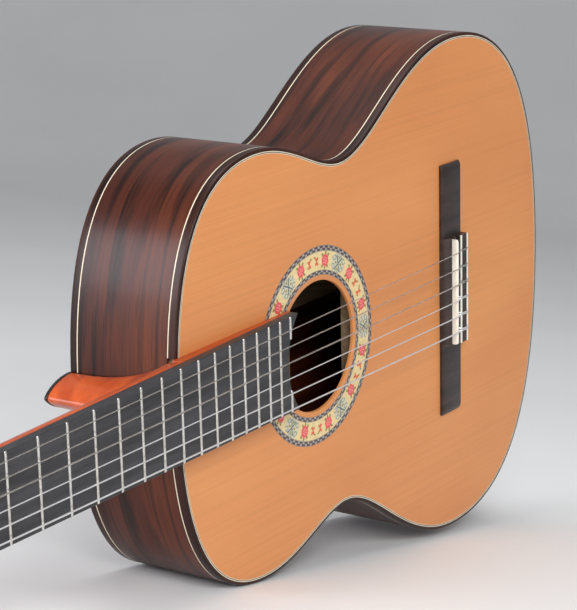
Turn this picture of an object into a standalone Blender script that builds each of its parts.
"""Classical guitar of 650 mm scale, standing on its bass side on a floor.

Everything is drawn in three nested frames. The body frame has its origin where the neck meets the
body, on the soundboard's face: x runs to the tail, y to the treble side and z out of the soundboard.
The neck frame has its origin at the nut, on the fingerboard's face, and is pitched forward a little.
The head frame starts behind the nut and leans back. An empty stands the body frame on the floor.
"""

import math

import bmesh
import bpy
import numpy as np
from mathutils import Matrix, Vector

MM = 0.001
GAP = 0.3 * MM  # between pieces that touch

# Scale and neck
SCALE_LENGTH = 650 * MM
BODY_EDGE_FROM_NUT = 318 * MM
TWELFTH_FRET = SCALE_LENGTH / 2
WIDTH_AT_NUT = 52.2 * MM
WIDTH_AT_TWELFTH = 63.6 * MM
FINGERBOARD_THICKNESS = 6 * MM
FINGERBOARD_RISE = 13.2 * MM  # fingerboard's face over the soundboard at the twelfth fret
NECK_PITCH = math.atan(0.0321)
NECK_DEPTH_AT_NUT = 15 * MM
NECK_DEPTH_AT_BODY = 17.5 * MM
HEEL_HALF_WIDTH = 11.5 * MM
HEEL_LENGTH = 27 * MM
HEEL_TOP = -2 * MM
HEEL_SLICES = (0, 0.06, 0.12, 0.18, 0.25, 0.33, 0.43, 0.56, 0.75, 1)  # down the heel
HEEL_FLARE_LENGTH = 68 * MM  # more length where the heel meets the shaft
HEEL_FLARE_WIDTH = 18.5 * MM
HEEL_CAP_THICKNESS = 2 * MM
SHAFT_SLICES = 6
SHAFT_SQUARENESS = (0.72, 0.85)  # powers across and down; lower is squarer

# Body outline, on the outer faces of the sides
BODY_LENGTH = 479 * MM
UPPER_BOUT = Vector((97 * MM, 148 * MM))
WAIST = Vector((193 * MM, 124.5 * MM))
LOWER_BOUT = Vector((351 * MM, 189.5 * MM))
OUTLINE_REACH = [r * MM for r in (110, 57, 40, 27, 42, 75, 80, 133)]
OUTLINE_STEPS = 9

# Body depth, plates and edges
DEPTH_AT_NECK = 82 * MM
DEPTH_AT_TAIL = 97 * MM
BACK_ARCH = 4 * MM
SOUNDBOARD_THICKNESS = 2.4 * MM
BACK_THICKNESS = 2.6 * MM
SIDE_THICKNESS = 2 * MM
BINDING_WIDTH = 2.2 * MM
BINDING_HEIGHT = 6 * MM
PLATE_INSET = BINDING_WIDTH + GAP
LINING_WIDTH = 6 * MM
LINING_HEIGHT = 14.3 * MM
BLOCK_MARGIN = 17.6 * MM  # plates to the end blocks, past the linings
COLLAR_HALF_WIDTH = 31 * MM
COLLAR_REACH = 2.2 * MM
WEB_HALF_WIDTH = 11 * MM
BLOCK_HALF_WIDTH = 35 * MM
TAIL_BLOCK_THICKNESS = 14 * MM
BLOCK_FACE = 4.2 * MM  # the neck's inner block, from the neck joint towards the tail
BLOCK_END = 24 * MM
FOOT_START = 11 * MM
FOOT_END = 60 * MM
FOOT_HEIGHTS = (26 * MM, 14 * MM)  # over the back, at the block and at the foot's end

# Soundhole and rosette
SOUNDHOLE_X = 161.5 * MM
SOUNDHOLE_RADIUS = 46 * MM
ROSETTE_INNER = 49.6 * MM
ROSETTE_OUTER = 70 * MM
ROSETTE_DEPTH = 1 * MM
FINGERBOARD_ARC = 50 * MM
BOARD_ARC_X = 162.4 * MM  # centre of the arc that ends the fingerboard

# Bridge and strings
BRIDGE_X = 327 * MM
BRIDGE_LENGTH = 27 * MM
BRIDGE_HALF_SPAN = 96 * MM
BED_FRONT = 3.4 * MM
BED_FROM = 3.2 * MM
BED_TO = 12.4 * MM
BED_HEIGHT = 7.8 * MM
CHANNEL_FROM = 14.2 * MM
CHANNEL_HEIGHT = 3.2 * MM
TIE_BLOCK_FROM = 16 * MM
TIE_BLOCK_HEIGHT = 9 * MM
TIE_BLOCK_EASE = (0.5 * MM, 0.9 * MM)  # eased edges, front and rear
TIE_HALF_SPAN = 41.5 * MM
WING_EDGE = 2.6 * MM
WING_HEIGHT = 3.6 * MM
WING_BEVEL = 2.5 * MM
WING_END_BEVEL = 4 * MM
SADDLE_X = 7.3 * MM  # behind the bridge's front edge
SADDLE_FOOT = 3.4 * MM
SADDLE_WIDTH = 3 * MM
SADDLE_TOP = 12.2 * MM
SADDLE_HALF_SPAN = 40 * MM
TIE_HOLE_HEIGHT = 4.6 * MM
TIE_HOLE_RADIUS = 0.95 * MM
STRING_RADII = [r * MM for r in (0.56, 0.46, 0.38, 0.52, 0.42, 0.36)]
SPACING_AT_NUT = 8.6 * MM
SPACING_AT_SADDLE = 12.2 * MM
NUT_LENGTH = 5 * MM
NUT_TOP = 2.6 * MM
STRING_OVER_NUT = 1 * MM

# Headstock
HEAD_LEAN = math.radians(13)
HEAD_DROP = 3.5 * MM  # head's face under the fingerboard's face, at the nut
HEAD_THICKNESS = 20 * MM
HEAD_HALF_WIDTH = 36.5 * MM
HEAD_OUTLINE = [  # treble half, from the nut to the middle of the crest
    (x * MM, y * MM)
    for x, y in (
        (6, 26),
        (-6, 26.6),
        (-13, 29),
        (-20, 33),
        (-27, 35.8),
        (-34, 36.5),
        (-140, 36.5),
        (-150, 35.6),
        (-158, 33.6),
        (-164, 33),
        (-168, 29),
        (-171, 22),
        (-177, 14),
        (-183, 7),
        (-185, 0),
    )
]
SLOT_CENTRE = 16.5 * MM
SLOT_HALF_WIDTH = 7.5 * MM
SLOT_NEAR = -20 * MM
SLOT_FAR = -136 * MM

# Tuning machines
ROLLER_PLACES = [x * MM for x in (-52, -87, -122)]
ROLLER_STRING_PLACES = [y * MM for y in (19.5, 17, 17)]
ROLLER_HEIGHT = -10 * MM
ROLLER_RADIUS = 5 * MM
AXLE_RADIUS = 2 * MM
BORE_RADIUS = ROLLER_RADIUS + 1.5 * GAP
PIN_RADIUS = AXLE_RADIUS + 1.5 * GAP
PLATE_THICKNESS = 1.2 * MM
PLATE_FROM = -42 * MM
PLATE_TO = -137 * MM
GEAR_TEETH = 14
WORM_LEAD = 2.513 * MM
GEAR_PITCH_RADIUS = GEAR_TEETH * WORM_LEAD / math.tau
GEAR_TIP_RADIUS = GEAR_PITCH_RADIUS + 0.7 * MM
GEAR_ROOT_RADIUS = GEAR_PITCH_RADIUS - 0.9 * MM
GEAR_THICKNESS = 4.2 * MM
GEAR_STANDOFF = 1.2 * MM  # plate to gear, which leaves room for the worm
WORM_CORE_RADIUS = 1.3 * MM
EAR_RADIUS = WORM_CORE_RADIUS + 1.5 * GAP
WORM_CREST_RADIUS = 2.9 * MM
WORM_SHIFT = -7.9 * MM  # worm's axis from the gear's axis, towards the crest
EAR_OFFSET = 5.6 * MM
EAR_THICKNESS = 1.2 * MM
BUTTON_HALF_WIDTH = 9 * MM
BUTTON_HALF_THICKNESS = 4.6 * MM
BUTTON_TOP = -24 * MM
BUTTON_LENGTH = 18 * MM

# Frets
FRET_WIDTH = 2 * MM
FRET_HEIGHT = 1 * MM
LAST_FRET = 19

# Braces, by their distance from the neck joint
BAR_WIDTH = 6 * MM
BAR_HEIGHT = 15 * MM
BAR_SCOOP = 28 * MM
BAR_PLACES = [x * MM for x in (52, 109.4, 222)]
HOLE_STRIP_OFFSET = 14 * MM  # outside the soundhole
HOLE_STRIP_HALF_WIDTH = 6 * MM
HOLE_STRIP_THICKNESS = 2.5 * MM
FAN_WIDTH = 5 * MM
FAN_HEIGHT = 4 * MM
FAN_COUNT = 7
FAN_END = 408 * MM
FAN_SPACING = (17 * MM, 33 * MM)  # at the bar and at the far end
FAN_SHORTENING = 9 * MM
CLOSING_BAR = ((436 * MM, 3 * MM), (376 * MM, 118 * MM))
TAIL_STRUT = (400 * MM, 438 * MM)
BACK_BAR_PLACES = [x * MM for x in (112, 236, 360)]
BACK_BAR_HEIGHT = 14 * MM
BACK_BAR_END_HEIGHT = 4 * MM
BACK_BAR_SLOPE = 30 * MM
SEAM_STRIP = (68 * MM, 452 * MM, 9 * MM, 2.4 * MM)  # from, to, half width, thickness
BRACE_CLEARANCE = 4 * MM  # from the ends of the bars to the lining
BACK_STRIPS = 7  # flat strips that follow the arch, on each side
ROUND_STEPS = 48

BALANCE_X = 60 * MM  # where the whole guitar balances along the body

PLATE_INNER_FACE = HEAD_HALF_WIDTH + GAP
GEAR_MIDDLE = PLATE_INNER_FACE + PLATE_THICKNESS + GEAR_STANDOFF + GEAR_THICKNESS / 2

NECK = Matrix.Translation(
    (
        TWELFTH_FRET - BODY_EDGE_FROM_NUT - TWELFTH_FRET * math.cos(NECK_PITCH),
        0,
        FINGERBOARD_RISE + TWELFTH_FRET * math.sin(NECK_PITCH),
    )
) @ Matrix.Rotation(NECK_PITCH, 4, "Y")
HEAD_IN_NECK = Matrix.Translation((-NUT_LENGTH - GAP, 0, -HEAD_DROP)) @ Matrix.Rotation(-HEAD_LEAN, 4, "Y")
HEAD = NECK @ HEAD_IN_NECK

COLOURS = {  # base colour, roughness, metallic
    "cedar": ((0.55, 0.25, 0.09), 0.35, 0),
    "spruce": ((0.75, 0.58, 0.38), 0.6, 0),
    "rosewood": ((0.11, 0.035, 0.02), 0.3, 0),
    "mahogany": ((0.42, 0.12, 0.04), 0.3, 0),
    "ebony": ((0.012, 0.011, 0.011), 0.4, 0),
    "mosaic": ((0.55, 0.42, 0.2), 0.4, 0),
    "bone": ((0.85, 0.8, 0.68), 0.35, 0),
    "nickel": ((0.7, 0.68, 0.64), 0.25, 1),
    "brass": ((0.75, 0.55, 0.25), 0.3, 1),
    "nylon": ((0.75, 0.75, 0.72), 0.15, 0),
    "silver": ((0.72, 0.72, 0.72), 0.3, 1),
    "pearl": ((0.8, 0.76, 0.68), 0.2, 0),
}


# ---------------------------------------------------------------- outline and surfaces


def cubic(a, b, c, d, t):
    """Point and unit direction at t on the cubic stretch a, b, c, d."""
    u = 1 - t
    point = a * u**3 + b * (3 * u * u * t) + c * (3 * u * t * t) + d * t**3
    slope = (b - a) * (u * u) + (c - b) * (2 * u * t) + (d - c) * (t * t)
    return point, slope.normalized()


def half_outline(inset=0.0):
    """Treble half of the body's outline from the neck to the tail, moved inward by inset."""
    neck_out, upper_in, upper_out, waist_in, waist_out, lower_in, lower_out, tail_in = OUTLINE_REACH
    neck = Vector((0, 0))
    tail = Vector((BODY_LENGTH, 0))
    along = Vector((1, 0))
    across = Vector((0, 1))
    stretches = [
        (neck, neck + across * neck_out, UPPER_BOUT - along * upper_in, UPPER_BOUT),
        (UPPER_BOUT, UPPER_BOUT + along * upper_out, WAIST - along * waist_in, WAIST),
        (WAIST, WAIST + along * waist_out, LOWER_BOUT - along * lower_in, LOWER_BOUT),
        (LOWER_BOUT, LOWER_BOUT + along * lower_out, tail + across * tail_in, tail),
    ]
    points = []
    for number, stretch in enumerate(stretches):
        last = number == len(stretches) - 1
        for k in range(OUTLINE_STEPS + last):
            point, way = cubic(*stretch, k / OUTLINE_STEPS)
            points.append(point + Vector((way.y, -way.x)) * inset)
    return points


def mirrored(points):
    """The same points on the bass side."""
    return [Vector((p.x, -p.y)) for p in points]


def closed_outline(inset):
    """The whole outline, moved inward by inset."""
    half = half_outline(inset)
    return half + mirrored(half[-2:0:-1])


def half_width(x, inset=0.0):
    """Half width of the body at x."""
    points = half_outline(inset)
    return float(np.interp(x, [p.x for p in points], [p.y for p in points]))


def back_z(x, y):
    """Height of the back's outer face: it falls towards the tail and is arched across."""
    slope = (DEPTH_AT_TAIL - DEPTH_AT_NECK) / BODY_LENGTH
    return -DEPTH_AT_NECK - slope * x - BACK_ARCH * (1 - (y / LOWER_BOUT.y) ** 2)


def above_back(height):
    """A surface at a height over the back's outer face."""
    return lambda x, y: back_z(x, y) + height


def fret_x(number):
    """Distance of a fret from the nut."""
    return SCALE_LENGTH * (1 - 2 ** (-number / 12))


def board_half_width(x):
    """Half width of the fingerboard at x from the nut."""
    return (WIDTH_AT_NUT + (WIDTH_AT_TWELFTH - WIDTH_AT_NUT) * x / TWELFTH_FRET) / 2


def at_height(surface, x, y):
    """Value of a height that is a number or a function of x and y."""
    return surface(x, y) if callable(surface) else surface


# ---------------------------------------------------------------- shapes as vertices and faces


def loft(rings, capped=True):
    """Skin over rings of equal length, closed round each ring and capped at both ends."""
    count = len(rings[0])
    vertices = [Vector(v) for ring in rings for v in ring]
    faces = []
    for r in range(len(rings) - 1):
        for k in range(count):
            n = (k + 1) % count
            faces.append((r * count + k, r * count + n, (r + 1) * count + n, (r + 1) * count + k))
    if capped:
        faces.append(tuple(range(count)))
        faces.append(tuple(range((len(rings) - 1) * count, len(rings) * count)))
    return vertices, faces


def prism(loop, low, high):
    """A plan outline between two heights, each a number or a function of x and y."""
    rings = [[(p[0], p[1], at_height(h, p[0], p[1])) for p in loop] for h in (low, high)]
    return loft(rings)


def wall(outer, inner, low, high, closed):
    """A wall between two plan paths of equal length."""
    sections = [
        [
            (o.x, o.y, at_height(low, o.x, o.y)),
            (o.x, o.y, at_height(high, o.x, o.y)),
            (i.x, i.y, at_height(high, i.x, i.y)),
            (i.x, i.y, at_height(low, i.x, i.y)),
        ]
        for o, i in zip(outer, inner)
    ]
    if closed:
        vertices, faces = loft(sections + sections[:1], capped=False)
        count = len(sections) * 4
        return vertices[:count], [tuple(v % count for v in face) for face in faces]
    return loft(sections)


def box(low, high):
    """A box between two corners."""
    loop = [(low[0], low[1]), (high[0], low[1]), (high[0], high[1]), (low[0], high[1])]
    return prism(loop, low[2], high[2])


def circle(radius, count, turn=0.0):
    """Points round a circle."""
    angles = [math.tau * k / count + turn for k in range(count)]
    return [(radius * math.cos(a), radius * math.sin(a)) for a in angles]


def rod(sections, count, axis):
    """A turned rod along an axis: sections are (place, radius) along it."""
    rings = [[spread(axis, place, a, b) for a, b in circle(radius, count)] for place, radius in sections]
    return loft(rings)


def spread(axis, along, a, b):
    """A point with one coordinate along the named axis and two across it."""
    return {"x": (along, a, b), "y": (a, along, b), "z": (a, b, along)}[axis]


def profile_along(axis, loop, start, end):
    """A flat profile swept straight along an axis."""
    return loft([[spread(axis, place, a, b) for a, b in loop] for place in (start, end)])


def moved(shape, matrix):
    """A shape carried by a matrix."""
    vertices, faces = shape
    return [matrix @ Vector(v) for v in vertices], faces


# ---------------------------------------------------------------- objects


def make_material(name):
    """A Principled material from the colour table."""
    if name in bpy.data.materials:
        return bpy.data.materials[name]
    colour, roughness, metallic = COLOURS[name]
    material = bpy.data.materials.new(name)
    material.use_nodes = True
    shader = material.node_tree.nodes["Principled BSDF"]
    shader.inputs["Base Color"].default_value = (*colour, 1)
    shader.inputs["Roughness"].default_value = roughness
    shader.inputs["Metallic"].default_value = metallic
    material.diffuse_color = (*colour, 1)
    return material


def make_mesh(name, shape):
    """A mesh with its faces pointing out."""
    vertices, faces = shape
    sheet = bmesh.new()
    made = [sheet.verts.new(v) for v in vertices]
    for face in faces:
        sheet.faces.new([made[k] for k in face])
    bmesh.ops.recalc_face_normals(sheet, faces=sheet.faces)
    mesh = bpy.data.meshes.new(name)
    sheet.to_mesh(mesh)
    sheet.free()
    return mesh


def add_object(name, data, material, frame, place=(0, 0, 0)):
    """An object in one of the frames, smooth where its faces meet at small angles."""
    item = bpy.data.objects.new(name, data)
    bpy.context.scene.collection.objects.link(item)
    item.parent = frame
    item.location = place
    item.data.materials.clear()
    item.data.materials.append(make_material(material))
    if item.type == "MESH":
        item.data.shade_smooth()
        item.data.set_sharp_from_angle(angle=math.radians(32))
    return item


def add_solid(name, shape, material, frame, place=(0, 0, 0)):
    """A one-shape object."""
    return add_object(name, make_mesh(name, shape), material, frame, place)


def add_cut_solid(name, joined, cuts, material, frame, place=(0, 0, 0)):
    """An object joined from the first shapes, with the second shapes cut out."""
    scene = bpy.context.scene.collection.objects
    helpers = [bpy.data.objects.new(name + "_shape", make_mesh(name, s)) for s in (*joined, *cuts)]
    for helper in helpers:
        scene.link(helper)
    base = helpers[0]
    for number, helper in enumerate(helpers[1:], 1):
        joint = base.modifiers.new("joint", "BOOLEAN")
        joint.solver = "EXACT"
        joint.operation = "UNION" if number < len(joined) else "DIFFERENCE"
        joint.object = helper
    shaped = base.evaluated_get(bpy.context.evaluated_depsgraph_get())
    mesh = bpy.data.meshes.new_from_object(shaped)
    for helper in helpers:
        bpy.data.objects.remove(helper)
    return add_object(name, mesh, material, frame, place)


def add_frame(name, parent, matrix):
    """An empty that carries a frame."""
    frame = bpy.data.objects.new(name, None)
    bpy.context.scene.collection.objects.link(frame)
    frame.parent = parent
    frame.matrix_local = matrix
    return frame


# ---------------------------------------------------------------- body


def make_soundboard(body):
    """Plate with the soundhole and a shallow groove for the rosette."""
    plate = prism(closed_outline(PLATE_INSET), -SOUNDBOARD_THICKNESS, 0)
    centre = Matrix.Translation((SOUNDHOLE_X, 0, 0))
    hole = moved(prism(circle(SOUNDHOLE_RADIUS, ROUND_STEPS), -BAR_HEIGHT, BAR_HEIGHT), centre)
    groove = moved(flat_ring(ROSETTE_INNER - GAP, ROSETTE_OUTER + GAP, -ROSETTE_DEPTH - GAP, MM), centre)
    add_cut_solid("soundboard", [plate], [hole, groove], "cedar", body)


def flat_ring(inner, outer, low, high):
    """A ring round the z axis."""
    outside = [Vector(p) for p in circle(outer, ROUND_STEPS)]
    inside = [Vector(p) for p in circle(inner, ROUND_STEPS)]
    return wall(outside, inside, low, high, closed=True)


def make_rosette(body):
    """Inlaid ring round the soundhole."""
    ring = flat_ring(ROSETTE_INNER, ROSETTE_OUTER, -ROSETTE_DEPTH, 0)
    add_solid("rosette", ring, "mosaic", body, (SOUNDHOLE_X, 0, 0))


def make_sides(body):
    """Two bent ribs, from the heel's web round to the tail seam."""
    for name, turn in (("side_treble", list), ("side_bass", mirrored)):
        outer = half_outline()
        inner = half_outline(SIDE_THICKNESS)
        kept = [k for k, p in enumerate(inner) if p.y > WEB_HALF_WIDTH + GAP]
        first, last = kept[0], kept[-1]
        paths = []
        for points in (outer, inner):
            start = crossing(points[first], points[first - 1], WEB_HALF_WIDTH + GAP)
            finish = Vector((points[-1].x, GAP / 2))
            paths.append(turn([start, *points[first : last + 1], finish]))
        shape = wall(*paths, above_back(BINDING_HEIGHT + GAP), -BINDING_HEIGHT - GAP, closed=False)
        add_solid(name, shape, "rosewood", body)


def crossing(near, far, y):
    """Where the step between two points crosses the line at y."""
    return near.lerp(far, (near.y - y) / (near.y - far.y))


def make_bindings(body):
    """Top binding, open where the neck passes, and the back's closed ring."""
    outer = half_outline()
    inner = half_outline(BINDING_WIDTH)
    first = next(k for k, p in enumerate(inner) if p.y > COLLAR_HALF_WIDTH + GAP)
    paths = []
    for points in (outer, inner):
        start = crossing(points[first], points[first - 1], COLLAR_HALF_WIDTH + GAP)
        half = [start, *points[first:]]
        paths.append(half + mirrored(half[-2::-1]))
    add_solid("top_binding", wall(*paths, -BINDING_HEIGHT, 0, closed=False), "ebony", body)
    ring = wall(closed_outline(0), closed_outline(BINDING_WIDTH), back_z, above_back(BINDING_HEIGHT), True)
    add_solid("back_binding", ring, "ebony", body)


def make_linings(body):
    """Glue strips inside the corners between the sides and the plates."""
    outer = closed_outline(PLATE_INSET)
    inner = closed_outline(PLATE_INSET + LINING_WIDTH)
    top = -SOUNDBOARD_THICKNESS - GAP
    bottom = BACK_THICKNESS + GAP
    add_solid("top_lining", wall(outer, inner, top - LINING_HEIGHT, top, True), "spruce", body)
    lower = wall(outer, inner, above_back(bottom), above_back(bottom + LINING_HEIGHT), True)
    add_solid("back_lining", lower, "spruce", body)


def make_tail_block(body):
    """Block between the linings at the tail, its outer face following the sides."""
    points = half_outline(PLATE_INSET)
    last = max(k for k, p in enumerate(points) if p.y > BLOCK_HALF_WIDTH)
    path = [crossing(points[last], points[last + 1], BLOCK_HALF_WIDTH), *points[last + 1 :]]
    inner_x = BODY_LENGTH - PLATE_INSET - TAIL_BLOCK_THICKNESS
    corner = Vector((inner_x, path[0].y))
    loop = [corner, *path, *mirrored(path[-2::-1]), Vector((inner_x, -path[0].y))]
    add_solid("tail_block", prism(loop, above_back(BLOCK_MARGIN), -BLOCK_MARGIN), "mahogany", body)


def make_back(body):
    """Two plates that meet on the centre seam, each bent across in narrow strips."""
    strips = [LOWER_BOUT.y * k / BACK_STRIPS for k in range(1, BACK_STRIPS)]
    for name, side in (("back_plate_treble", 1), ("back_plate_bass", -1)):
        half = half_outline(PLATE_INSET)
        loop = [Vector((half[0].x, GAP / 2)), *half[1:-1], Vector((half[-1].x, GAP / 2))]
        sheet = bmesh.new()
        sheet.from_mesh(make_mesh(name, prism(loop, 0, BACK_THICKNESS)))
        for y in strips:
            geometry = sheet.verts[:] + sheet.edges[:] + sheet.faces[:]
            bmesh.ops.bisect_plane(sheet, geom=geometry, plane_co=(0, y, 0), plane_no=(0, 1, 0))
        for vertex in sheet.verts:
            vertex.co.z += back_z(vertex.co.x, vertex.co.y)
            vertex.co.y *= side
        sheet.normal_update()
        bmesh.ops.recalc_face_normals(sheet, faces=sheet.faces)
        mesh = bpy.data.meshes.new(name)
        sheet.to_mesh(mesh)
        sheet.free()
        add_object(name, mesh, "rosewood", body)


def make_soundboard_bracing(body):
    """Harmonic bars, strips beside the soundhole, fan struts and closing bars, glued as one frame."""
    top = -SOUNDBOARD_THICKNESS - GAP
    clear = PLATE_INSET + LINING_WIDTH + BRACE_CLEARANCE
    first, _, last = BAR_PLACES
    shapes = [cross_bar(x, half_width(x, clear), top) for x in BAR_PLACES]
    for side in (1, -1):
        strip_y = side * (SOUNDHOLE_RADIUS + HOLE_STRIP_OFFSET)
        near, far = strip_y - HOLE_STRIP_HALF_WIDTH, strip_y + HOLE_STRIP_HALF_WIDTH
        shapes.append(box((first, near, top - HOLE_STRIP_THICKNESS), (last, far, top)))
    for k in range(FAN_COUNT):
        share = k - (FAN_COUNT - 1) / 2
        start = (last, share * FAN_SPACING[0])
        end = (FAN_END - abs(share) * FAN_SHORTENING, share * FAN_SPACING[1])
        shapes.append(slanted_bar(start, end, top - FAN_HEIGHT, top))
    for side in (1, -1):
        start, end = [(x, side * y) for x, y in CLOSING_BAR]
        shapes.append(slanted_bar(start, end, top - FAN_HEIGHT - MM, top))
    shapes.append(slanted_bar(*[(x, 0) for x in TAIL_STRUT], top - FAN_HEIGHT, top))
    add_cut_solid("soundboard_bracing", shapes, [], "spruce", body)


def cross_bar(x, reach, top):
    """A bar across the soundboard with scooped ends, hanging from height top."""
    loop = [
        (-reach, top),
        (-reach, top - BAR_HEIGHT / 4),
        (-reach + BAR_SCOOP, top - BAR_HEIGHT),
        (reach - BAR_SCOOP, top - BAR_HEIGHT),
        (reach, top - BAR_HEIGHT / 4),
        (reach, top),
    ]
    return profile_along("x", loop, x - BAR_WIDTH / 2, x + BAR_WIDTH / 2)


def slanted_bar(start, end, low, high):
    """A straight strut between two plan points."""
    start, end = Vector(start), Vector(end)
    way = (end - start).normalized() * (FAN_WIDTH / 2)
    side = Vector((-way.y, way.x))
    return prism([start + side, start - side, end - side, end + side], low, high)


def make_back_bracing(body):
    """Three bars across the back, their feet following the arch, and the seam strip."""
    lift = BACK_THICKNESS + GAP
    clear = PLATE_INSET + LINING_WIDTH + BRACE_CLEARANCE
    shapes = []
    for x in BACK_BAR_PLACES:
        reach = half_width(x, clear)
        crown = back_z(x, 0) + lift + BACK_BAR_HEIGHT
        end_top = back_z(x, reach) + lift + BACK_BAR_END_HEIGHT
        top_reach = reach - BACK_BAR_SLOPE
        loop = [(reach * k / 6, back_z(x - BAR_WIDTH, reach * k / 6) + lift) for k in range(-6, 7)]
        loop += [(reach, end_top), (top_reach, crown), (-top_reach, crown), (-reach, end_top)]
        shapes.append(profile_along("x", loop, x - BAR_WIDTH / 2, x + BAR_WIDTH / 2))
    start, end, half, thickness = SEAM_STRIP
    strip = [(start, -half), (end, -half), (end, half), (start, half)]
    shapes.append(prism(strip, above_back(lift), above_back(lift + thickness)))
    add_cut_solid("back_bracing", shapes, [], "spruce", body)


# ---------------------------------------------------------------- neck


def underside(x, y=0.0):
    """Height, in the body frame, of the fingerboard's underside over the body."""
    from_twelfth = x - (TWELFTH_FRET - BODY_EDGE_FROM_NUT)
    return FINGERBOARD_RISE - FINGERBOARD_THICKNESS - GAP - math.tan(NECK_PITCH) * from_twelfth


def neck_shaft():
    """Shaft with a flat top and a rounded back, from the nut to the body."""
    rings = []
    across, down = SHAFT_SQUARENESS
    for share in np.linspace(0, 1, SHAFT_SLICES):
        x = (BODY_EDGE_FROM_NUT + NUT_LENGTH) * share - NUT_LENGTH
        width = board_half_width(x)
        depth = NECK_DEPTH_AT_NUT + (NECK_DEPTH_AT_BODY - NECK_DEPTH_AT_NUT) * share
        ring = []
        for k in range(13):
            angle = math.pi * k / 12
            y = width * math.copysign(abs(math.cos(angle)) ** across, math.cos(angle))
            z = -FINGERBOARD_THICKNESS - GAP - depth * math.sin(angle) ** down
            ring.append((x, y, z))
        rings.append(ring)
    return moved(loft(rings), NECK)


def heel():
    """Pointed heel: flat slices that shrink quickly from the shaft and run down to the cap."""
    bottom = back_z(0, 0) + HEEL_CAP_THICKNESS + GAP
    rings = []
    for share in HEEL_SLICES:
        length = HEEL_LENGTH + HEEL_FLARE_LENGTH * (1 - share) ** 6
        width = HEEL_HALF_WIDTH + HEEL_FLARE_WIDTH * (1 - share) ** 2.6
        z = HEEL_TOP + (bottom - HEEL_TOP) * share
        rings.append([(x, y, z) for x, y in heel_slice(length, width)])
    return loft(rings)


def heel_slice(length, width):
    """Plan of the heel: flat against the body, rounded to a point away from it."""
    points = []
    for k in range(13):
        t = 1 - 2 * k / 12
        reach = 1 - t * t
        points.append((-GAP - length * reach, width * math.copysign((1 - reach**2) ** 0.75, t)))
    return points


def neck_tongue():
    """Wedge under the fingerboard, from the shaft to the soundhole's arc."""
    return prism(tongue_plan(-10 * MM), GAP, underside)


def tongue_plan(start):
    """Plan of what lies over the body: the fingerboard's taper, ended by the arc."""
    corner_y = board_half_width(BODY_EDGE_FROM_NUT + BOARD_ARC_X - FINGERBOARD_ARC)
    limit = math.asin(corner_y / FINGERBOARD_ARC)
    arc = []
    for k in range(15):
        angle = limit * (1 - 2 * k / 14)
        x = BOARD_ARC_X - FINGERBOARD_ARC * math.cos(angle)
        arc.append((x, FINGERBOARD_ARC * math.sin(angle)))
    width = board_half_width(BODY_EDGE_FROM_NUT + start)
    return [(start, -width), (start, width), *arc]


def neck_block():
    """Block and foot inside the body, in one profile."""
    floor = BACK_THICKNESS + 2 * GAP
    base = back_z(FOOT_END, 0)
    ledge = base + BLOCK_MARGIN + 2 * MM
    loop = [
        (BLOCK_FACE, -BLOCK_MARGIN),
        (BLOCK_END, -BLOCK_MARGIN),
        (BLOCK_END, base + FOOT_HEIGHTS[0]),
        (FOOT_END, base + FOOT_HEIGHTS[1]),
        (FOOT_END, back_z(FOOT_END, BLOCK_HALF_WIDTH) + floor),
        (FOOT_START, back_z(FOOT_START, BLOCK_HALF_WIDTH) + floor),
        (FOOT_START, ledge),
        (BLOCK_FACE, ledge),
    ]
    return loft([[(x, y, z) for x, z in loop] for y in (-BLOCK_HALF_WIDTH, BLOCK_HALF_WIDTH)])


def make_neck(body):
    """Shaft, heel, wedge and inner block, carved as one piece."""
    collar = box((-MM, -COLLAR_HALF_WIDTH, -BINDING_HEIGHT), (COLLAR_REACH, COLLAR_HALF_WIDTH, MM))
    web_floor = back_z(0, 0) + BINDING_HEIGHT + MM
    web = box((-MM, -WEB_HALF_WIDTH, web_floor), (COLLAR_REACH, WEB_HALF_WIDTH, MM))
    root_floor = back_z(0, 0) + BLOCK_MARGIN + 4 * MM
    root = box((0, -WEB_HALF_WIDTH, root_floor), (6 * MM, WEB_HALF_WIDTH, -BLOCK_MARGIN - MM))
    shapes = [neck_shaft(), heel(), neck_tongue(), collar, web, root, neck_block()]
    add_cut_solid("neck", shapes, [], "mahogany", body)


def make_heel_cap(body):
    """Thin cap on the heel's end, flush with the back."""
    loop = heel_slice(HEEL_LENGTH, HEEL_HALF_WIDTH)
    low = back_z(0, 0)
    add_solid("heel_cap", prism(loop, low, low + HEEL_CAP_THICKNESS), "ebony", body)


def make_fingerboard(neck):
    """Tapered board from the nut to the arc at the soundhole."""
    from_body = NECK.inverted()
    arc = [(from_body @ Vector((x, y, FINGERBOARD_RISE))).xy for x, y in tongue_plan(0)[2:]]
    width = board_half_width(0)
    loop = [(0, -width), (0, width), *arc]
    add_solid("fingerboard", prism(loop, -FINGERBOARD_THICKNESS, 0), "ebony", neck)


def make_frets(neck):
    """Crowned wires across the board; the arc splits the last one in two."""
    for number in range(1, LAST_FRET + 1):
        x = fret_x(number)
        width = board_half_width(x) - 0.4 * MM
        if number < LAST_FRET:
            add_fret(f"fret_{number:02d}", x, -width, width, neck)
        else:
            gap = x - (BODY_EDGE_FROM_NUT + BOARD_ARC_X)
            split = math.sqrt(FINGERBOARD_ARC**2 - gap**2) + 1.5 * MM
            add_fret(f"fret_{number:02d}_treble", x, split, width, neck)
            add_fret(f"fret_{number:02d}_bass", x, -width, -split, neck)


def add_fret(name, x, start, end, neck):
    """One wire with a rounded crown."""
    crown = [(math.cos(math.pi * k / 6), math.sin(math.pi * k / 6)) for k in range(7)]
    loop = [(FRET_WIDTH / 2 * a, GAP + (FRET_HEIGHT - GAP) * b) for a, b in crown]
    add_solid(name, profile_along("y", loop, start, end), "nickel", neck, (x, 0, 0))


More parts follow.
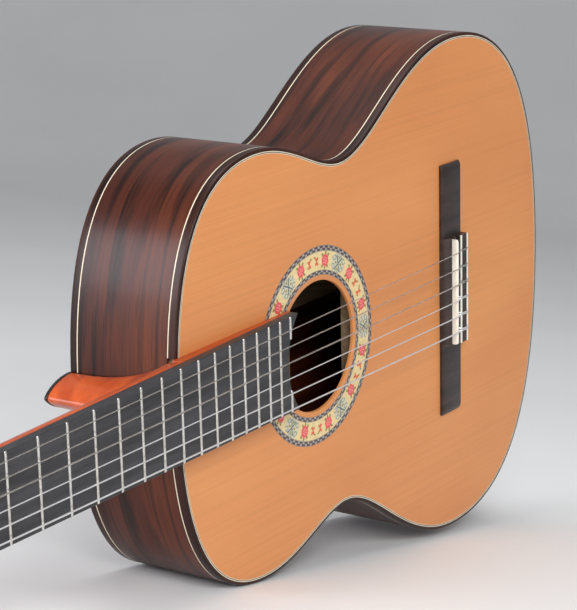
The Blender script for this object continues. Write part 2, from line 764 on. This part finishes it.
def make_nut(neck):
    """Bone bar with a notch for each string."""
    half = board_half_width(0) - 0.2 * MM
    base = -FINGERBOARD_THICKNESS
    top = []
    for number in range(6):
        y, _ = string_sides(number)
        radius = STRING_RADII[number] + GAP + 0.1 * MM
        floor = STRING_OVER_NUT - GAP
        top += [(y - radius, NUT_TOP), (y - radius, floor), (y + radius, floor), (y + radius, NUT_TOP)]
    loop = [(-half, base), (-half, NUT_TOP), *top, (half, NUT_TOP), (half, base)]
    add_solid("nut", profile_along("x", loop, -NUT_LENGTH, -GAP), "bone", neck)


# ---------------------------------------------------------------- bridge and strings


def bridge_section():
    """Section of the bridge's middle along the strings, from its front edge."""
    slot = SADDLE_WIDTH / 2 + GAP
    front_ease, rear_ease = TIE_BLOCK_EASE
    return [
        (0, GAP),
        (0, BED_FRONT),
        (BED_FROM, BED_HEIGHT),
        (SADDLE_X - slot, BED_HEIGHT),
        (SADDLE_X - slot, SADDLE_FOOT),
        (SADDLE_X + slot, SADDLE_FOOT),
        (SADDLE_X + slot, BED_HEIGHT),
        (BED_TO, BED_HEIGHT),
        (CHANNEL_FROM, CHANNEL_HEIGHT),
        (TIE_BLOCK_FROM, CHANNEL_HEIGHT),
        (TIE_BLOCK_FROM, TIE_BLOCK_HEIGHT - front_ease),
        (TIE_BLOCK_FROM + front_ease, TIE_BLOCK_HEIGHT),
        (BRIDGE_LENGTH - rear_ease, TIE_BLOCK_HEIGHT),
        (BRIDGE_LENGTH, TIE_BLOCK_HEIGHT - rear_ease),
        (BRIDGE_LENGTH, GAP),
    ]


def bridge_wing(side):
    """One flat wing with bevelled edges and a bevelled end."""
    section = [
        (0, GAP),
        (0, WING_EDGE),
        (WING_BEVEL, WING_HEIGHT),
        (BRIDGE_LENGTH - WING_BEVEL, WING_HEIGHT),
        (BRIDGE_LENGTH, WING_EDGE),
        (BRIDGE_LENGTH, GAP),
    ]
    places = (TIE_HALF_SPAN - MM, BRIDGE_HALF_SPAN - WING_END_BEVEL, BRIDGE_HALF_SPAN)
    rings = []
    for y, height in zip(places, (1, 1, 0.5)):
        rings.append([(x, side * y, GAP + (z - GAP) * height) for x, z in section])
    return loft(rings)


def make_bridge(body):
    """Flat wings with a tie block between them, drilled for the strings."""
    centre = profile_along("y", bridge_section(), -TIE_HALF_SPAN, TIE_HALF_SPAN)
    holes = []
    for number in range(6):
        _, y = string_sides(number)
        hole = rod([(BED_TO, TIE_HOLE_RADIUS), (BRIDGE_LENGTH + MM, TIE_HOLE_RADIUS)], 8, "x")
        holes.append(moved(hole, Matrix.Translation((0, y, TIE_HOLE_HEIGHT))))
    shapes = [centre, bridge_wing(-1), bridge_wing(1)]
    add_cut_solid("bridge", shapes, holes, "ebony", body, (BRIDGE_X, 0, 0))


def make_saddle(body):
    """Bone strip with a rounded top, standing in the bridge's slot."""
    half = SADDLE_WIDTH / 2
    top = [(half * math.cos(a), SADDLE_TOP - half + half * math.sin(a)) for a in np.linspace(0, math.pi, 7)]
    foot = SADDLE_FOOT + GAP
    loop = [(SADDLE_X + x, z) for x, z in [(half, foot), *top, (-half, foot)]]
    shape = profile_along("y", loop, -SADDLE_HALF_SPAN, SADDLE_HALF_SPAN)
    add_solid("saddle", shape, "bone", body, (BRIDGE_X, 0, 0))


def string_sides(number):
    """Place of a string across the nut and across the saddle; string 0 is the lowest, on the bass side."""
    steps = number - 2.5
    return steps * SPACING_AT_NUT, steps * SPACING_AT_SADDLE


def string_roller(number):
    """Which roller place a string goes to, and where across the head it meets it."""
    order = number if number < 3 else 5 - number
    side = -1 if number < 3 else 1
    return side, order, side * ROLLER_STRING_PLACES[order]


def string_route(number):
    """Points along a string in the body frame: tie block, saddle, nut, roller."""
    radius = STRING_RADII[number]
    nut_y, saddle_y = string_sides(number)
    side, order, roller_y = string_roller(number)
    over = radius + GAP
    block_top = TIE_BLOCK_HEIGHT + over
    bridge = [
        (TIE_BLOCK_FROM + 1.5 * MM, block_top),
        (BRIDGE_LENGTH - 1.5 * MM, block_top),
        (BRIDGE_LENGTH + 0.6 * MM, block_top - 0.6 * MM),
        (BRIDGE_LENGTH + 1.4 * MM, block_top - 2.8 * MM),
        (BRIDGE_LENGTH + 0.8 * MM, TIE_HOLE_HEIGHT + 0.3 * MM),
        (BRIDGE_LENGTH - MM, TIE_HOLE_HEIGHT),
        (TIE_BLOCK_FROM - MM, TIE_HOLE_HEIGHT),
        (BED_TO + 0.5 * MM, BED_HEIGHT + 0.6 * MM + over),
        (SADDLE_X + 1.3 * MM, SADDLE_TOP + over - 0.5 * MM),
        (SADDLE_X + 0.3 * MM, SADDLE_TOP + over),
    ]
    points = [Vector((BRIDGE_X + x, saddle_y, z)) for x, z in bridge]
    across_nut = [(0, STRING_OVER_NUT + radius), (-NUT_LENGTH + MM, STRING_OVER_NUT + radius)]
    points += [NECK @ Vector((x, nut_y, z)) for x, z in across_nut]
    place = ROLLER_PLACES[order]
    above = ROLLER_HEIGHT + ROLLER_RADIUS + GAP + radius
    points += [HEAD @ Vector((place + shift, roller_y, above)) for shift in (MM, -MM)]
    return points


def make_strings(body):
    """Six strings, each one tube along its whole route."""
    for number in range(6):
        curve = bpy.data.curves.new(f"string_{6 - number}", "CURVE")
        curve.dimensions = "3D"
        curve.bevel_depth = STRING_RADII[number]
        curve.bevel_resolution = 2
        curve.use_fill_caps = True
        route = string_route(number)
        line = curve.splines.new("POLY")
        line.points.add(len(route) - 1)
        for point, place in zip(line.points, route):
            point.co = (*place, 1)
        add_object(curve.name, curve, "silver" if number < 3 else "nylon", body)


# ---------------------------------------------------------------- headstock and machines


def rounded_slot(side):
    """Plan of one string slot."""
    loop = []
    for end, turn in ((SLOT_NEAR - SLOT_HALF_WIDTH, -90), (SLOT_FAR + SLOT_HALF_WIDTH, 90)):
        for k in range(5):
            angle = math.radians(turn + 45 * k)
            x = end + SLOT_HALF_WIDTH * math.cos(angle)
            loop.append((x, side * SLOT_CENTRE + SLOT_HALF_WIDTH * math.sin(angle)))
    return loop


def make_headstock(head):
    """Leaning head with two string slots and the rollers' bores, cut off behind the nut."""
    half = [Vector(p) for p in HEAD_OUTLINE]
    loop = half + mirrored(half[-2::-1])
    blank = prism(loop, -HEAD_THICKNESS, 0)
    cuts = [prism(rounded_slot(side), -HEAD_THICKNESS - MM, MM) for side in (1, -1)]
    wall_start = SLOT_CENTRE + SLOT_HALF_WIDTH - MM
    rail_bore = SLOT_CENTRE - SLOT_HALF_WIDTH - 5.5 * MM
    for side in (1, -1):
        for x in ROLLER_PLACES:
            bore = rod([(side * wall_start, BORE_RADIUS), (side * 40 * MM, BORE_RADIUS)], 12, "y")
            pin = rod([(side * rail_bore, PIN_RADIUS), (side * wall_start, PIN_RADIUS)], 8, "y")
            place = Matrix.Translation((x, 0, ROLLER_HEIGHT))
            cuts += [moved(bore, place), moved(pin, place)]
    behind_nut = box((-GAP / 2 - NUT_LENGTH, -40 * MM, -40 * MM), (30 * MM, 40 * MM, 20 * MM))
    under_neck = moved(behind_nut, HEAD_IN_NECK.inverted())
    add_cut_solid("headstock", [blank], [*cuts, under_neck], "mahogany", head)


def make_plates(head):
    """Side plates with the rollers' bores and two ears round each worm's shaft."""
    for name, side in (("tuner_plate_treble", 1), ("tuner_plate_bass", -1)):
        inner = side * PLATE_INNER_FACE
        outer = side * (PLATE_INNER_FACE + PLATE_THICKNESS)
        low, high = -HEAD_THICKNESS + 2 * MM, -2 * MM
        sheet = box((PLATE_TO, min(inner, outer), low), (PLATE_FROM, max(inner, outer), high))
        ears = []
        cuts = []
        for x in ROLLER_PLACES:
            bore = rod([(side * 30 * MM, PIN_RADIUS), (side * 40 * MM, PIN_RADIUS)], 8, "y")
            cuts.append(moved(bore, Matrix.Translation((x, 0, ROLLER_HEIGHT))))
            worm_x = x + WORM_SHIFT
            reach = sorted((side * (PLATE_INNER_FACE + MM / 2), side * (GEAR_MIDDLE + 2.6 * MM)))
            for end in (-1, 1):
                middle = ROLLER_HEIGHT + end * EAR_OFFSET
                near, far = middle - EAR_THICKNESS / 2, middle + EAR_THICKNESS / 2
                ears.append(box((worm_x - 2.6 * MM, reach[0], near), (worm_x + 2.6 * MM, reach[1], far)))
            shaft = rod([(-HEAD_THICKNESS, EAR_RADIUS), (0, EAR_RADIUS)], 8, "z")
            cuts.append(moved(shaft, Matrix.Translation((worm_x, side * GEAR_MIDDLE, 0))))
        add_cut_solid(name, [sheet, *ears], cuts, "brass", head)


def gear_profile():
    """Toothed outline, with a tooth centred on the worm's side."""
    loop = []
    pitch = math.tau / GEAR_TEETH
    root_half, tip_half = 0.5 * MM / GEAR_ROOT_RADIUS, 0.3 * MM / GEAR_TIP_RADIUS
    for k in range(GEAR_TEETH):
        middle = pitch * k
        for radius, shift in (
            (GEAR_ROOT_RADIUS, -root_half),
            (GEAR_TIP_RADIUS, -tip_half),
            (GEAR_TIP_RADIUS, tip_half),
            (GEAR_ROOT_RADIUS, root_half),
        ):
            angle = middle + shift
            loop.append((radius * math.cos(angle), radius * math.sin(angle)))
    return loop


def make_rollers(head):
    """String rollers with their gear wheels outside the plates, one for each string."""
    for number in range(6):
        side, order, _ = string_roller(number)
        barrel_end = HEAD_HALF_WIDTH - GAP
        gear_near, gear_far = GEAR_MIDDLE - GEAR_THICKNESS / 2, GEAR_MIDDLE + GEAR_THICKNESS / 2
        inner_end = SLOT_CENTRE - SLOT_HALF_WIDTH + GAP
        sections = [
            (inner_end - 5 * MM, AXLE_RADIUS),
            (inner_end, AXLE_RADIUS),
            (inner_end, ROLLER_RADIUS),
            (barrel_end, ROLLER_RADIUS),
            (barrel_end, AXLE_RADIUS),
            (gear_near + MM, AXLE_RADIUS),
        ]
        barrel = rod([(side * place, radius) for place, radius in sections], 10, "y")
        gear = profile_along("y", gear_profile(), side * gear_near, side * gear_far)
        place = (ROLLER_PLACES[order], 0, ROLLER_HEIGHT)
        add_cut_solid(f"string_roller_{6 - number}", [gear, barrel], [], "brass", head, place)


def worm_thread():
    """Helical thread as a swept trapezoid, in step with the gear's gaps."""
    steps, turns = 9, 2
    rings = []
    count = round(steps * turns)
    for k in range(count + 1):
        turn = turns * (k / count - 0.5)
        angle = math.tau * (turn + 0.5)
        z = WORM_LEAD * turn
        section = (
            (WORM_CORE_RADIUS - 0.3 * MM, -0.5 * MM),
            (WORM_CREST_RADIUS, -0.25 * MM),
            (WORM_CREST_RADIUS, 0.25 * MM),
            (WORM_CORE_RADIUS - 0.3 * MM, 0.5 * MM),
        )
        rings.append([(r * math.cos(angle), r * math.sin(angle), z + rise) for r, rise in section])
    return loft(rings)


def button():
    """Flattened, rounded grip on the worm's shaft."""
    rings = []
    for share, size in ((0, 0.45), (0.12, 0.8), (0.45, 1), (0.85, 0.85), (1, 0.45)):
        z = BUTTON_TOP - BUTTON_LENGTH * share - ROLLER_HEIGHT
        ring = []
        for k in range(10):
            angle = math.tau * k / 10
            wide = math.copysign(abs(math.cos(angle)) ** 0.8, math.cos(angle))
            ring.append((BUTTON_HALF_WIDTH * size * wide, BUTTON_HALF_THICKNESS * size * math.sin(angle), z))
        rings.append(ring)
    return loft(rings)


def make_worms(head):
    """Worm, shaft and button of each machine, turning as one."""
    bearing = EAR_OFFSET + EAR_THICKNESS
    for number in range(6):
        side, order, _ = string_roller(number)
        sections = [
            (bearing + MM, WORM_CORE_RADIUS * 0.8),
            (bearing + MM / 2, WORM_CORE_RADIUS),
            (-bearing, WORM_CORE_RADIUS),
            (-bearing - MM, 2 * MM),
            (BUTTON_TOP - ROLLER_HEIGHT - 2 * MM, 2 * MM),
        ]
        place = (ROLLER_PLACES[order] + WORM_SHIFT, side * GEAR_MIDDLE, ROLLER_HEIGHT)
        shapes = [rod(sections, 8, "z"), worm_thread(), button()]
        add_cut_solid(f"tuner_button_{6 - number}", shapes, [], "pearl", head, place)


# ---------------------------------------------------------------- standing it up


def stand_on_floor(body):
    """Turn the guitar on its bass side until it rests on both sides of its balance point."""
    bpy.context.view_layer.update()
    graph = bpy.context.evaluated_depsgraph_get()
    to_body = body.matrix_world.inverted()
    points = []
    for item in bpy.data.objects:
        if item.type == "EMPTY":
            continue
        shaped = item.evaluated_get(graph)
        mesh = shaped.to_mesh()
        points += [to_body @ item.matrix_world @ v.co for v in mesh.vertices]
        shaped.to_mesh_clear()
    points = np.array(points)
    tail_side = points[:, 0] > BALANCE_X
    low, high = 0.0, 0.5
    for _ in range(50):
        tilt = (low + high) / 2
        heights = points[:, 0] * math.sin(tilt) + points[:, 1] * math.cos(tilt)
        if heights[tail_side].min() < heights[~tail_side].min():
            low = tilt
        else:
            high = tilt
    body.rotation_euler = (math.pi / 2, -tilt, 0)
    bpy.context.view_layer.update()
    turned = points @ np.array(body.rotation_euler.to_matrix()).T
    least, most = turned.min(axis=0), turned.max(axis=0)
    body.location = (-(least[0] + most[0]) / 2, -(least[1] + most[1]) / 2, -least[2])
    bpy.context.view_layer.update()


def clear_scene():
    """Start from an empty scene."""
    for item in list(bpy.data.objects):
        bpy.data.objects.remove(item)


def main():
    """Build every piece and stand the guitar up."""
    clear_scene()
    body = add_frame("body_frame", None, Matrix.Identity(4))
    neck = add_frame("neck_frame", body, NECK)
    head = add_frame("head_frame", neck, HEAD_IN_NECK)
    for make in (
        make_soundboard,
        make_rosette,
        make_soundboard_bracing,
        make_sides,
        make_linings,
        make_tail_block,
        make_back,
        make_back_bracing,
        make_bindings,
        make_neck,
        make_heel_cap,
        make_bridge,
        make_saddle,
        make_strings,
    ):
        make(body)
    for make in (make_fingerboard, make_frets, make_nut):
        make(neck)
    for make in (make_headstock, make_plates, make_rollers, make_worms):
        make(head)
    stand_on_floor(body)


main()
